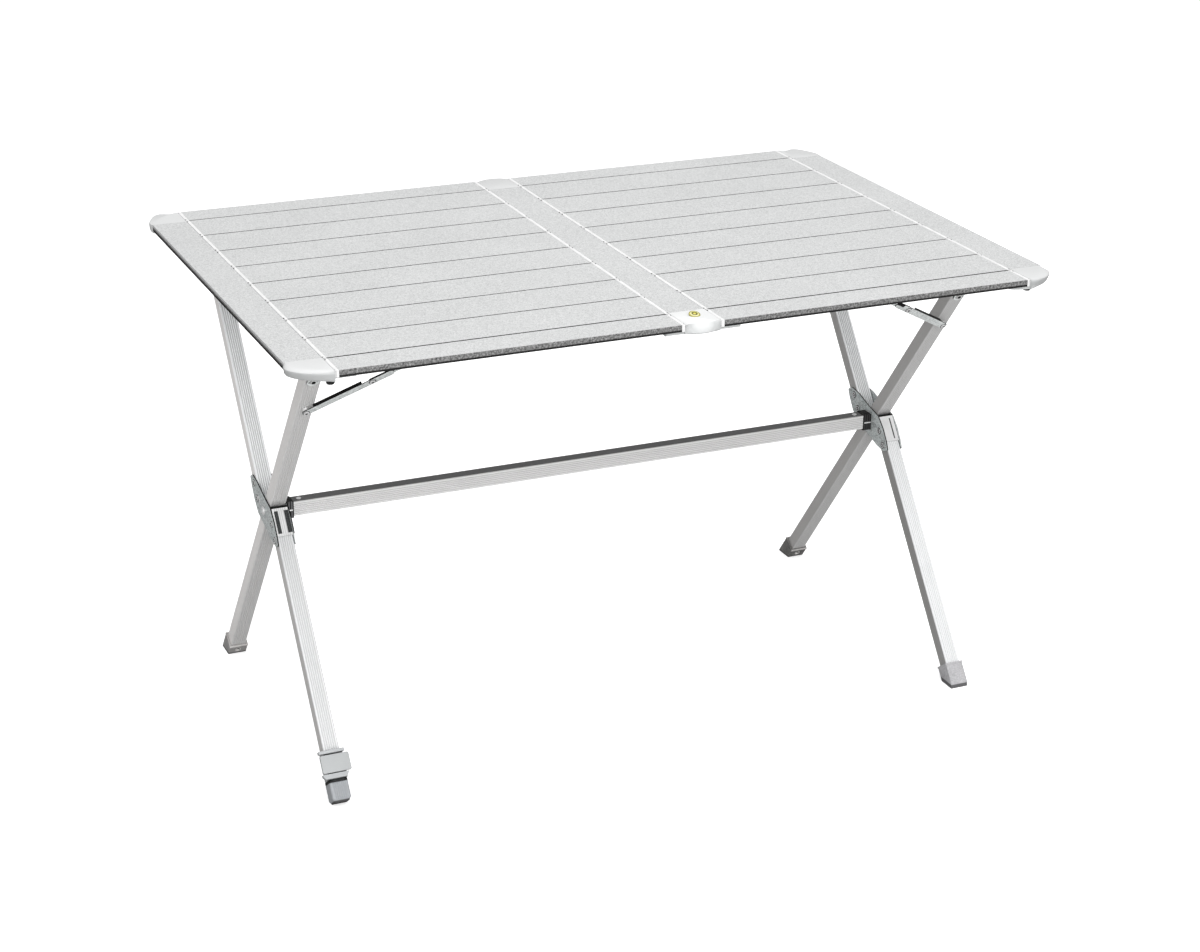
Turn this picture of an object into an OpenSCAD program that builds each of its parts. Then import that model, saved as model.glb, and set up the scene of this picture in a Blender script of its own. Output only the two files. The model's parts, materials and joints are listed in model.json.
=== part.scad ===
// Folding slatted camping table with a closing cross-leg frame.
// Millimetres, +Z up, origin on the floor below the middle of the top, +X along the long side, -Y the front.

/* [Table] */
// overall length over the two end bars
table_l = 1170; // [1000:1:1300]
// depth of the slatted top, front to back
table_d = 800; // [600:1:900]
// height of the top surface
table_h = 700; // [600:1:760]

/* [Top] */
// thickness of a slat
slat_t = 10; // [8:0.5:14]
// thickness of a cross bar
bar_t = 11; // [9:0.5:16]
// width of an end bar
end_bar_w = 53.6; // [40:0.2:80]
// width of the middle bar
mid_bar_w = 54.8; // [40:0.2:80]
// length of a plastic cap along a bar
cap_l = 56; // [40:1:80]
// width of the white strip made by the slat end plugs
plug_w = 5; // [3:0.2:8]
// pitch of the wide slats
slat_pitch = 87; // [70:0.5:95]
// gap between neighbouring slats
seam = 1.6; // [0.8:0.1:3]
// extra width of the front-most gap
front_seam = 0.8; // [0:0.1:2]
// wall of slats and bars
top_wall = 1.2; // [1:0.1:2]

/* [Legs] */
// lean of each leg from the vertical, in degrees
lean = 37.3; // [30:0.1:45]
// distance of the leg planes from the middle
leg_x = 512.8; // [450:0.1:560]
// leg tube size along X
leg_w = 24; // [20:0.1:32]
// leg tube size across the leg
leg_d = 21.6; // [18:0.1:28]
// leg tube wall
leg_wall = 1.6; // [1.2:0.1:2.5]
// sideways step of the half legs from the long leg
half_step = 22.4; // [20:0.1:30]
// distance of the crossing behind (negative: in front of) the middle
cross_y = -12.3; // [-40:0.1:40]
// height of the crossing
cross_z = 350.8; // [300:0.1:400]

/* [Rails and crossbar] */
// rail radius
rail_r = 11; // [8:0.5:15]
// rail length
rail_l = 1100; // [1000:1:1160]
// height of the rail axis
rail_z = 672; // [650:0.5:680]
// crossbar depth
bar_y = 22; // [18:0.5:30]
// crossbar height
bar_z = 23; // [18:0.5:30]
// half length of the crossbar tube
bar_half = 484; // [400:1:500]

/* [Feet] */
// height of the plain feet along the leg
foot_h = 34; // [25:1:50]
// foot wall
foot_wall = 3.2; // [2:0.1:5]

/* [Hidden] */

$fn = 24;
half_l = table_l / 2;
bar_in = half_l - end_bar_w;          // inner edge of an end bar
bar_end = table_d / 2 - cap_l;        // where the aluminium of a bar stops
mid_h = mid_bar_w / 2;
slat_o = bar_in - plug_w - 0.3;       // outer end of a slat extrusion
slat_i = mid_h + plug_w + 0.3;        // inner end of a slat extrusion
narrow = (table_d - 8 * slat_pitch) / 2;
level_x = 2.5;                        // the level sits a little to the right
z0 = table_h - slat_t;                // underside of the slats
zb = table_h - bar_t;                 // underside of the bars
lip_z = zb - 2.6;                     // underside of the supporting lips
cl = cos(lean);
sl = sin(lean);
roll_s = half_step / 2;               // rail offset from the leg line
rail_t = (rail_z - cross_z + roll_s * sl) / cl;   // rail distance up the leg
front_rail_y = cross_y - roll_s * cl - rail_t * sl;
rear_rail_y = cross_y + roll_s * cl + rail_t * sl;
leg_top = rail_t - 14.3;
long_end = -424;                      // lower end of a long leg, along it
half_end = -440;                      // lower end of the right half leg
adj_end = -411;                       // lower end of the left half leg
fit = 0.05;                           // radial clearance of pins
silver = [0.78, 0.79, 0.80];
white = [0.93, 0.94, 0.94];
zinc = [0.66, 0.69, 0.69];
dark = [0.25, 0.26, 0.28];
grey = [0.66, 0.67, 0.69];

// frame of the long legs: Z up the leg, Y to its back face
module in_a() { translate([0, cross_y, cross_z]) rotate([lean, 0, 0]) children(); }
// frame of the half legs: Z up the leg, Y to its rear face
module in_b() { translate([0, cross_y, cross_z]) rotate([-lean, 0, 0]) children(); }
// extrude a (y, z) outline along X from x1 to x2
module along_x(x1, x2) {
    translate([x1, 0, 0]) rotate([90, 0, 90]) linear_extrude(height = x2 - x1) children();
}
module xcyl(r, x1, x2) { translate([x1, 0, 0]) rotate([0, 90, 0]) cylinder(r = r, h = x2 - x1); }
module ycyl(r, y1, y2) { translate([0, y2, 0]) rotate([90, 0, 0]) cylinder(r = r, h = y2 - y1); }
module box(a, b) { translate(a) cube(b - a); }

// ---------- the top ----------
// y of seam number i, counted from the front: 0 is the front edge, 10 the rear edge
function seam_y(i) = i == 0 ? -table_d / 2 : i == 10 ? table_d / 2
    : -table_d / 2 + narrow + (i - 1) * slat_pitch;

module slat(i, side) {
    y1 = seam_y(i - 1) + (i == 1 ? 0 : i == 2 ? seam / 2 + front_seam : seam / 2);
    y2 = seam_y(i) - (i == 10 ? 0 : seam / 2);
    c = 0.6;
    w = top_wall;
    mirror([side < 0 ? 1 : 0, 0, 0]) {
        color(silver) difference() {
            along_x(slat_i, slat_o) polygon([[y1, z0 + c], [y1 + c, z0], [y2 - c, z0], [y2, z0 + c],
                [y2, table_h - c], [y2 - c, table_h], [y1 + c, table_h], [y1, table_h - c]]);
            for (k = [0, 1]) {
                h = (y2 - y1 - 3 * w) / 2;
                box([slat_i - 1, y1 + w + k * (h + w), z0 + w],
                    [slat_o + 1, y1 + w + k * (h + w) + h, table_h - w]);
            }
        }
        color(white) for (e = [[slat_o + 0.1, 1], [slat_i - 0.1, -1]]) slat_plug(e[0], e[1], y1, y2);
    }
}
module slat_plug(x, d, y1, y2) {
    w = top_wall + 0.2;
    h = (y2 - y1 - 3 * top_wall) / 2;
    difference() {
        union() {
            box([min(x, x + d * (plug_w - 0.1)), y1 + 0.1, z0],
                [max(x, x + d * (plug_w - 0.1)), y2 - 0.1, table_h]);
            for (k = [0, 1])
                box([min(x + d, x - d * 14), y1 + top_wall + 0.2 + k * (h + top_wall), z0 + w],
                    [max(x + d, x - d * 14), y1 + top_wall - 0.2 + k * (h + top_wall) + h,
                     table_h - w]);
        }
        for (y = [y1 + 5, y2 - 5]) translate([x + d * plug_w, y, table_h - 1]) cube([2.4, 2.2, 4], true);
    }
}

module bar_section(x1, x2, lips) {
    w = top_wall + 0.2;
    c = 1.2;
    difference() {
        union() {
            translate([0, bar_end, 0]) rotate([90, 0, 0]) linear_extrude(height = 2 * bar_end)
                polygon([[x1 + c, zb], [x2 - c, zb], [x2, zb + c], [x2, table_h - 0.5],
                    [x2 - 0.5, table_h], [x1 + 0.5, table_h], [x1, table_h - 0.5], [x1, zb + c]]);
            for (l = lips) box([l[0], -bar_end, lip_z], [l[1], bar_end, zb + 0.2]);
        }
        box([x1 + w, -bar_end - 1, zb + w], [x2 - w, bar_end + 1, table_h - w]);
    }
}
module left_end_bar() {
    color(silver) bar_section(-half_l, -bar_in, [[-bar_in - 3.5, -bar_in + 12]]);
}
module right_end_bar() {
    color(silver) bar_section(bar_in, half_l, [[bar_in - 12, bar_in + 3.5]]);
}
module mid_bar() {
    color(silver) bar_section(-mid_h, mid_h, [[-mid_h - 12, -14], [14, mid_h + 12]]);
}

// corner cap, drawn for +X and the front; round_tab gives the softer ledge, humps the rear outline
module corner_cap(round_tab, humps) {
    b = bar_end + 0.2;
    e = half_l;
    i = bar_in + 0.2;
    w = top_wall + 0.4;
    d = table_d / 2;
    color(white) {
        hull() {
            translate([0, 0, table_h - 1.2]) linear_extrude(height = 1.2)
                polygon(humps ? [[i, -b], [e, -b], [e + 2, -b - 9], [e + 1, -b - 18], [e - 4, -b - 31],
                        [e - 11, -b - 45], [e - 18, -b - 53], [e - 27, -b - 57], [e - 33, -b - 56.5],
                        [i, -d - 1]]
                    : [[i, -b], [e, -b], [e + 2.4, -b - 7], [e + 3, -b - 14], [e + 1.4, -b - 21],
                        [e - 4, -b - 30], [e - 13, -b - 39], [e - 24, -b - 45.5], [e - 38, -d + 4],
                        [i, -d - 1.5]]);
            translate([0, 0, zb - 1.2]) linear_extrude(height = 1.6)
                polygon([[i, -b], [e - 1, -b], [e + 0.6, -b - 8], [e, -b - 16], [e - 6, -b - 26],
                    [e - 15, -b - 34], [e - 30, -b - 41], [i, -d + 6]]);
        }
        box([i - 0.2 + w, -b - 2, zb + w], [e - w, -b + 40, table_h - w]);
        if (round_tab)
            translate([i + 2, -d + 14, z0 - 4.4]) linear_extrude(height = 4)
                intersection() {
                    scale([32, 13]) circle(r = 1);
                    translate([-40, -13]) square([46, 26]);
                }
        else box([i - 32, -d + 3, z0 - 4.4], [i + 6, -d + 30, z0 - 0.4]);
    }
}
module right_front_cap() corner_cap(true, false);
module left_front_cap() mirror([1, 0, 0]) corner_cap(false, false);
module right_rear_cap() mirror([0, 1, 0]) corner_cap(true, true);
module left_rear_cap() mirror([0, 1, 0]) mirror([1, 0, 0]) corner_cap(false, true);

// middle cap, drawn for the front
module middle_cap(level) {
    b = bar_end + 0.2;
    h = mid_h - 0.2;
    d = table_d / 2;
    w = top_wall + 0.4;
    color(white) difference() {
        union() {
            hull() {
                translate([0, 0, table_h - 1]) linear_extrude(height = 1)
                    polygon(level ? [[-h, -b], [h, -b], [h, -d], [12, -d + 4.5], [-8, -d + 4.5], [-h, -d]]
                        : [[-h, -b], [h, -b], [h, -d + 1], [19, -d - 4.5], [8, -d - 8], [-5, -d - 8.5],
                            [-16, -d - 5], [-h, -d + 2]]);
                translate([0, 0, zb - 3]) linear_extrude(height = 3)
                    polygon([[-h, -b], [h, -b], [h, -d + 1], [h * 0.6, -d - 5], [0, -d - 7.5],
                        [-h * 0.6, -d - 5], [-h, -d + 1]]);
            }
            box([-h - 0.2 + w, -b - 2, zb + w], [h + 0.2 - w, -b + 40, table_h - w]);
            box([-h - 28, -d + 4, z0 - 4.4], [h + 32, -d + 26, z0 - 0.4]);
        }
        if (level) translate([level_x, -table_d / 2 + 34, table_h - 6.5]) cylinder(r = 7.55, h = 10, $fn = 40);
    }
}
module mid_front_cap() middle_cap(true);
module mid_rear_cap() mirror([0, 1, 0]) middle_cap(false);

module level_vial() {
    color([0.72, 0.78, 0.25]) translate([level_x, -table_d / 2 + 34, table_h - 6.4]) {
        cylinder(r = 7.5, h = 6.4, $fn = 40);
    }
}
module cap_studs() {
    color([0.06, 0.06, 0.06]) for (s = [-1, 1], r = [-1, 1])
        translate([s * (bar_in + 4), r * (table_d / 2 - 14), z0 - 8.6]) {
            cylinder(r = 4.5, h = 4);
        }
}
module rail_clips() {
    color(grey) for (x = [-542.3, 0, 542.3]) {
        translate([0, front_rail_y, rail_z]) difference() {
            union() {
                xcyl(rail_r + 3, x - 7, x + 7);
                box([x - 7, -11, 0], [x + 7, 11, zb - 0.1 - rail_z]);
            }
            xcyl(rail_r + fit, x - 8, x + 8);
            box([x - 8, -8, -rail_r - 4], [x + 8, 8, 0]);
        }
        box([x - 7, rear_rail_y - 90, rail_z + rail_r + 0.4], [x + 7, rear_rail_y + 17, zb - 0.1]);
        box([x - 7, rear_rail_y + 12, rail_z - 3], [x + 7, rear_rail_y + 17, zb - 0.1]);
    }
}

// ---------- tubes ----------
// outline of a rectangular tube with fluted faces, w along x and d along y
function flutes(n, pitch, fw, fd) = [for (i = [0:n - 1])
    for (p = [[-fw / 2, 0], [-fw / 4, fd], [fw / 4, fd], [fw / 2, 0]])
        [(i - (n - 1) / 2) * pitch + p[0], p[1]]];
module fluted_tube(w, d, wall, n) {
    c = 1;
    f = flutes(n, (w - 5) / n, 2, 0.5);
    m = len(f);
    difference() {
        polygon(concat([[-w / 2, -d / 2 + c], [-w / 2 + c, -d / 2]],
            [for (p = f) [p[0], -d / 2 + p[1]]],
            [[w / 2 - c, -d / 2], [w / 2, -d / 2 + c], [w / 2, d / 2 - c], [w / 2 - c, d / 2]],
            [for (k = [m - 1:-1:0]) [f[k][0], d / 2 - f[k][1]]],
            [[-w / 2 + c, d / 2], [-w / 2, d / 2 - c]]));
        square([w - 2 * wall, d - 2 * wall - 0.8], true);
    }
}
module leg_tube(z1, z2) {
    translate([0, 0, z1]) linear_extrude(height = z2 - z1) fluted_tube(leg_w, leg_d, leg_wall, 6);
}
module rail(y) {
    color(silver) translate([0, y, rail_z]) difference() {
        xcyl(rail_r, -rail_l / 2, rail_l / 2);
        xcyl(rail_r - 1.5, -rail_l / 2 - 1, rail_l / 2 + 1);
    }
}
module front_rail() rail(front_rail_y);
module rear_rail() rail(rear_rail_y);

stay_hi = [427, 347];          // elbow of a stay: x and distance up the leg
stay_lo = [leg_x, 288];        // its pivot on the leg
link_hi = [369, 386];          // upper pivot of the short link
hang_t = 358.3;                // rivet of a hanger

module long_leg(s) {
    color(silver) in_a() translate([s * leg_x, 0, 0]) difference() {
        leg_tube(long_end, leg_top);
        xcyl(4 + fit, -20, 20);
        for (t = [hang_t, stay_lo[1]]) translate([0, 0, t]) ycyl(2.5 + fit, -20, 20);
    }
}
module long_leg_left() long_leg(-1);
module long_leg_right() long_leg(1);

plate_rivets = [[22, 26], [21.5, 50], [-26, -29], [-24.5, -53]];   // y and z in the half leg frame
module half_leg(s, y, z1, z2) {
    color(silver) in_b() translate([s * leg_x, 0, 0]) difference() {
        translate([0, y, 0]) leg_tube(z1, z2);
        for (p = plate_rivets) translate([0, p[0], p[1]]) xcyl(2.5 + fit, -20, 20);
        if (y > 0) translate([0, 0, hang_t]) ycyl(2.5 + fit, 0, 60);
    }
}
module upper_leg_left() half_leg(-1, half_step, 10, leg_top);
module upper_leg_right() half_leg(1, half_step, 10, leg_top);
module lower_leg_left() half_leg(-1, -half_step, adj_end, -10);
module lower_leg_right() half_leg(1, -half_step, half_end, -10);

// ---------- hangers, tabs, stays ----------
// collar on a rail with a flat tongue down to tongue_t; local frame of the leg, rail at y = ry
module tongue(x, ry, y1, y2, tongue_t, w) {
    difference() {
        union() {
            translate([x, ry, rail_t]) xcyl(rail_r + 2, -w / 2, w / 2);
            box([x - w / 2, y1, tongue_t + 1], [x + w / 2, y2, rail_t - rail_r + 1]);
            translate([x, 0, tongue_t]) ycyl(w / 2, y1, y2);
            if (y1 > ry + rail_r) box([x - w / 2, ry, rail_t - rail_r - 1.9],
                [x + w / 2, y2, rail_t - rail_r + 0.4]);
        }
        translate([x, ry, rail_t]) xcyl(rail_r + fit, -w, w);
        translate([x, 0, tongue_t]) ycyl(2.5 + fit, y1 - 1, y2 + 1);
    }
}
module front_hangers() {
    color(zinc) in_a() for (s = [-1, 1])
        tongue(s * leg_x, -roll_s, -leg_d / 2 - 2.2, -leg_d / 2 - 0.2, hang_t, 18);
}
module front_tabs() {
    color(zinc) in_a() for (s = [-1, 1])
        tongue(s * link_hi[0], -roll_s, -13, -11, link_hi[1], 15);
}
module rear_hangers() {
    color(zinc) in_b() for (s = [-1, 1])
        tongue(s * leg_x, roll_s, half_step + leg_d / 2 + 0.2, half_step + leg_d / 2 + 2.2, hang_t, 18);
}
// a long two-wall stay and a short slotted link, both flat against the leg plane
stay_y = -17.8;                // outer face of the stay
module front_stays() {
    d = stay_hi - stay_lo;
    l = norm(d);
    color(zinc) in_a() for (s = [-1, 1]) mirror([s < 0 ? 1 : 0, 0, 0])
        translate([stay_lo[0], 0, stay_lo[1]]) rotate([0, -atan2(d[1], d[0]), 0]) difference() {
            union() {
                box([0, stay_y, -5.8], [l + 28, stay_y + 1.4, 5.8]);
                for (x = [0, l + 28]) translate([x, 0, 0]) ycyl(5.8, stay_y, stay_y + 1.4);
                for (z = [-5.8, 4.6]) box([14, stay_y, z], [l - 14, stay_y + 5.5, z + 1.2]);
            }
            for (x = [0, l]) translate([x, 0, 0]) ycyl(2.5 + fit, stay_y - 1, stay_y + 3);
        }
}
module front_links() {
    d = link_hi - stay_hi;
    l = norm(d);
    color(zinc) in_a() for (s = [-1, 1]) mirror([s < 0 ? 1 : 0, 0, 0])
        translate([stay_hi[0], 0, stay_hi[1]]) rotate([0, -atan2(d[1], d[0]), 0]) difference() {
            union() {
                box([0, stay_y + 1.7, -5], [l, stay_y + 3.5, 5]);
                for (x = [0, l]) translate([x, 0, 0]) ycyl(5, stay_y + 1.7, stay_y + 3.5);
            }
            for (x = [0, l]) translate([x, 0, 0]) ycyl(2.5 + fit, stay_y, stay_y + 5);
            box([14, stay_y, -1.6], [34, stay_y + 5, 1.6]);
        }
}
// a rivet along y from y1 (head) to y2, with a domed head
module yrivet(y1, y2, hr) {
    ycyl(2.5, y1, y2);
    ycyl(hr, y1 - 1, y1);
    ycyl(hr * 0.6, y1 - 1.5, y1 - 0.5);
}
module front_rivets() {
    color(zinc) in_a() for (s = [-1, 1]) {
        translate([s * leg_x, 0, hang_t]) yrivet(-leg_d / 2 - 2.3, leg_d / 2, 4.6);
        translate([s * stay_lo[0], 0, stay_lo[1]]) {
            yrivet(stay_y - 0.1, leg_d / 2, 4.2);
            ycyl(4.2, stay_y + 1.5, -leg_d / 2 - 0.1);
        }
        translate([s * stay_hi[0], 0, stay_hi[1]]) yrivet(stay_y - 0.1, stay_y + 4.4, 4.2);
        translate([s * link_hi[0], 0, link_hi[1]]) yrivet(stay_y + 1.6, -10.4, 4.2);
    }
}

// ---------- crossing joints ----------
plate_edge = [[36, 66], [22, 63], [5, 46], [-16, 17], [-36, -7], [-40, -30], [-39, -52],
    [-36, -66], [-22, -63], [-5, -46], [16, -17], [36, 7], [40, 30], [39, 52]];
module joint_plate(x1, x2, screws) {
    difference() {
        along_x(x1, x2) offset(r = 3) offset(delta = -3) polygon(plate_edge);
        xcyl(4 + fit, x1 - 1, x2 + 1);
        for (p = plate_rivets) translate([0, p[0], p[1]]) xcyl(2.5 + fit, x1 - 1, x2 + 1);
        if (screws) for (k = [-1, 1]) translate([0, k * 7, k * 7]) xcyl(1.8 + fit, x1 - 1, x2 + 1);
    }
}
module outer_plates() {
    color(zinc) in_b() for (s = [-1, 1]) mirror([s < 0 ? 1 : 0, 0, 0])
        joint_plate(leg_x + leg_w / 2 + 0.4, leg_x + leg_w / 2 + 2.2, false);
}
module inner_plates() {
    color(zinc) in_b() for (s = [-1, 1]) mirror([s < 0 ? 1 : 0, 0, 0])
        joint_plate(leg_x - leg_w / 2 - 2.2, leg_x - leg_w / 2 - 0.4, true);
}
module pivot_pins() {
    color(zinc) in_b() for (s = [-1, 1]) mirror([s < 0 ? 1 : 0, 0, 0]) {
        xcyl(4, leg_x - leg_w / 2 - 2.2, leg_x + leg_w / 2 + 2.4);
        xcyl(7, leg_x + leg_w / 2 + 2.3, leg_x + leg_w / 2 + 3.8);
        xcyl(4.4, leg_x + leg_w / 2 + 2.3, leg_x + leg_w / 2 + 4.6);
    }
}
module rear_rivets() {
    color(zinc) in_b() for (s = [-1, 1]) mirror([s < 0 ? 1 : 0, 0, 0]) {
        for (p = plate_rivets) translate([leg_x, p[0], p[1]]) {
            xcyl(2.5, -leg_w / 2 - 2.4, leg_w / 2 + 2.4);
            for (m = [0, 1]) mirror([m, 0, 0]) {
                xcyl(4.2, leg_w / 2 + 2.3, leg_w / 2 + 3.3);
                xcyl(2.6, leg_w / 2 + 2.3, leg_w / 2 + 3.9);
            }
        }
        translate([leg_x, half_step, hang_t]) mirror([0, 1, 0]) yrivet(-leg_d / 2 - 2.3, leg_d / 2, 4.6);
        for (k = [-1, 1]) translate([0, k * 7, k * 7]) xcyl(1.8, 486, leg_x - leg_w / 2 - 0.5);
    }
    color(zinc) for (s = [-1, 1]) translate([s * 473, cross_y, cross_z + bar_z / 2]) {
        translate([0, 0, -6]) cylinder(r = 2.5, h = 6.2);
        translate([0, 0, 0.1]) cylinder(r = 3.8, h = 0.8);
    }
}
// plug and front apron at the upper end of each lower half leg; the apron slots differ by side
module joint_cover(slots) {
    f = -half_step - leg_d / 2 - 0.2;
    difference() {
        union() {
            box([-leg_w / 2, f - 2.4, -51], [leg_w / 2, f, -5.5]);
            box([-leg_w / 2, f - 2.4, -9.8], [leg_w / 2, f + 8, -7.6]);
            box([-leg_w / 2 + leg_wall + 0.3, -half_step - leg_d / 2 + leg_wall + 0.8, -20],
                [leg_w / 2 - leg_wall - 0.3, f + 8, -7.6]);
        }
        for (a = slots) box([a[0], f - 3, a[2]], [a[1], f - 1.2, a[3]]);
    }
}
module joint_covers() {
    color(white) in_b() {
        translate([-leg_x, 0, 0]) joint_cover([[-8.5, -4, -47, -14], [6.4, 11, -45, -12]]);
        translate([leg_x, 0, 0]) joint_cover([[4.4, 5.6, -46, -14]]);
    }
}
module crossbar() {
    color(silver) difference() {
        translate([0, cross_y, cross_z]) along_x(-bar_half, bar_half) rotate([0, 0, 90])
            fluted_tube(bar_z, bar_y, 1.4, 6);
        for (s = [-1, 1]) translate([s * 473, cross_y, cross_z]) cylinder(r = 2.5 + fit, h = 20);
    }
}
module connector(s) {
    color(dark) mirror([s < 0 ? 1 : 0, 0, 0]) difference() {
        translate([0, cross_y, cross_z]) union() {
            box([bar_half + 0.3, -bar_y / 2 - 0.4, -bar_z / 2 - 2.4],
                [leg_x - leg_w / 2 - 2.4, bar_y / 2 + 0.4, bar_z / 2 + 1]);
            box([bar_half - 34, -bar_y / 2 + 2.2, -bar_z / 2 + 1.8],
                [bar_half + 1, bar_y / 2 - 2.2, bar_z / 2 - 1.8]);
        }
        translate([473, cross_y, cross_z + bar_z / 2 - 7]) cylinder(r = 2.5 + fit, h = 20);
        in_b() for (k = [-1, 1]) translate([0, k * 7, k * 7]) xcyl(1.8 + fit, 485.8, leg_x);
    }
}
module crossbar_connector_left() connector(-1);
module crossbar_connector_right() connector(1);

// ---------- feet ----------
toe = 319.5;                          // how far the front foot reaches to the front
module floor_cut() { translate([-700, -700, -200]) cube([1400, 1400, 200]); }
// a cup around a leg end; y0 is the leg's offset in its own frame, top and stop along the leg
module cup(y0, top, stop) {
    w = leg_w / 2 + foot_wall - 0.6;
    d = leg_d / 2 + foot_wall;
    difference() {
        union() {
            box([-w, y0 - d, -500], [w, y0 + d, top - 2.5]);
            box([-w - 0.6, y0 - d - 0.6, top - 3], [w + 0.6, y0 + d + 0.6, top]);
        }
        box([-leg_w / 2 - 0.15, y0 - leg_d / 2 - 0.15, stop - 0.2],
            [leg_w / 2 + 0.15, y0 + leg_d / 2 + 0.15, top + 1]);
    }
}
module rear_foot(s) {
    color([0.45, 0.44, 0.44]) difference() {
        in_a() translate([s * leg_x, 0, 0]) cup(0, -cross_z / cl + foot_h, long_end);
        floor_cut();
        in_a() translate([s * leg_x, -leg_d / 2 - 8, -cross_z / cl + foot_h - 12]) scale([1, 1, 1.5])
            ycyl(2.6, -1, 7);
    }
}
module rear_foot_left() rear_foot(-1);
module rear_foot_right() rear_foot(1);
module front_foot_right() {
    color(grey) difference() {
        in_b() translate([leg_x, 0, 0])
            cup(-half_step, -cross_z / cl - half_step * sl / cl + foot_h, half_end);
        floor_cut();
        translate([leg_x - 40, -400, -10]) cube([80, 400 - toe, 60]);
    }
}
// adjustable foot on the left lower half leg
adj_top = -375.6;
adj_low = -417;
lever_p = [-half_step - leg_d / 2 - 8.4, -386];   // lever pivot, y and z in the leg frame
module adjuster_sleeve() {
    f = -half_step - leg_d / 2;
    r = -half_step + leg_d / 2;
    color(grey) in_b() translate([-leg_x, 0, 0]) difference() {
        union() {
            box([-leg_w / 2 - 1.5, f - 3.4, adj_low], [leg_w / 2 + 2.6, r + 1.4, adj_top]);
            box([-leg_w / 2 - 10.3, f - 10.6, adj_top - 4.4], [leg_w / 2 + 4, f - 2.4, adj_top]);
            translate([0, f - 2.4, 0]) rotate([90, 0, 0]) linear_extrude(height = 8.2)
                polygon([[-22.7, adj_low + 7], [-22.4, adj_low + 4.6], [-19.7, adj_low], [12, adj_low],
                    [15.6, adj_low + 4.6], [16, adj_low + 7]]);
            translate([0, lever_p[0], lever_p[1]]) xcyl(1.7, -4, 4);
            box([-4, lever_p[0], lever_p[1] - 1.4], [4, f, lever_p[1] + 1.4]);
        }
        box([-leg_w / 2 - 0.15, f - 0.15, adj_low - 1], [leg_w / 2 + 0.15, r + 0.15, adj_top + 1]);
        translate([0, lever_p[0], lever_p[1]]) xcyl(0.9 + fit, -20, 20);
    }
}
// the plate hides its pivot: a pocket in its back holds the knuckle of the sleeve
module adjuster_lever() {
    f = -half_step - leg_d / 2;
    color([0.78, 0.79, 0.80]) in_b() translate([-leg_x, 0, 0]) {
        difference() {
            translate([0, f - 6.6, 0]) rotate([90, 0, 0]) linear_extrude(height = 5)
                polygon([[-21.9, -407.2], [-20.5, -408.6], [19.4, -408.6], [20.8, -407.2],
                    [20.8, -384], [19.4, -382.6], [-20.5, -382.6], [-21.9, -384]]);
            box([-4.3, lever_p[0] - 1.9, lever_p[1] - 5], [4.3, f, lever_p[1] + 9]);
        }
        translate([0, lever_p[0], lever_p[1]]) xcyl(0.9, -6, 6);
    }
}
// drawn fully pushed in: its square sole then meets the floor along its rear edge
module adjuster_foot() {
    d = leg_d + 2 * foot_wall;
    low = -450.5;
    color([0.56, 0.57, 0.60]) difference() {
        in_b() translate([-leg_x, 0, 0]) {
            box([-leg_w / 2 + 2.2, -half_step - leg_d / 2 + 2.6, adj_low - 4],
                [leg_w / 2 - 2.2, -half_step + leg_d / 2 - 2.6, -330]);
            difference() {
                translate([0, -half_step, 0]) hull() {
                    translate([0, 0, low + 5]) linear_extrude(height = adj_low - 0.8 - low - 5)
                        offset(r = 3.5) square([leg_w - 3, d - 7], true);
                    translate([0, 0, low]) linear_extrude(height = 1)
                        offset(r = 3) square([leg_w - 8, d - 12], true);
                }
                for (k = [-3:3]) box([k * 3 - 0.6, -half_step - d / 2 - 1, low - 9],
                    [k * 3 + 0.6, -half_step - d / 2 + 0.5, adj_low - 4]);
            }
        }
        floor_cut();
    }
}

// ---------- slats by name ----------
module left_slat_01() slat(1, -1);
module left_slat_02() slat(2, -1);
module left_slat_03() slat(3, -1);
module left_slat_04() slat(4, -1);
module left_slat_05() slat(5, -1);
module left_slat_06() slat(6, -1);
module left_slat_07() slat(7, -1);
module left_slat_08() slat(8, -1);
module left_slat_09() slat(9, -1);
module left_slat_10() slat(10, -1);
module right_slat_01() slat(1, 1);
module right_slat_02() slat(2, 1);
module right_slat_03() slat(3, 1);
module right_slat_04() slat(4, 1);
module right_slat_05() slat(5, 1);
module right_slat_06() slat(6, 1);
module right_slat_07() slat(7, 1);
module right_slat_08() slat(8, 1);
module right_slat_09() slat(9, 1);
module right_slat_10() slat(10, 1);

left_end_bar();
mid_bar();
right_end_bar();
left_front_cap();
left_rear_cap();
mid_front_cap();
mid_rear_cap();
right_front_cap();
right_rear_cap();
cap_studs();
level_vial();
rail_clips();
left_slat_01();
left_slat_02();
left_slat_03();
left_slat_04();
left_slat_05();
left_slat_06();
left_slat_07();
left_slat_08();
left_slat_09();
left_slat_10();
right_slat_01();
right_slat_02();
right_slat_03();
right_slat_04();
right_slat_05();
right_slat_06();
right_slat_07();
right_slat_08();
right_slat_09();
right_slat_10();
front_rail();
front_hangers();
long_leg_left();
long_leg_right();
front_stays();
front_links();
front_tabs();
front_rivets();
rear_foot_left();
rear_foot_right();
rear_rail();
rear_hangers();
upper_leg_left();
upper_leg_right();
lower_leg_left();
lower_leg_right();
outer_plates();
inner_plates();
pivot_pins();
rear_rivets();
joint_covers();
front_foot_right();
crossbar();
crossbar_connector_left();
crossbar_connector_right();
adjuster_sleeve();
adjuster_lever();
adjuster_foot();
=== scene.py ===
"""Looks of the folding table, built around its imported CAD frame. Metres, +Z up, -Y the front."""
import json
import math

import bmesh
import bpy
from mathutils import Matrix, Vector


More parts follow.
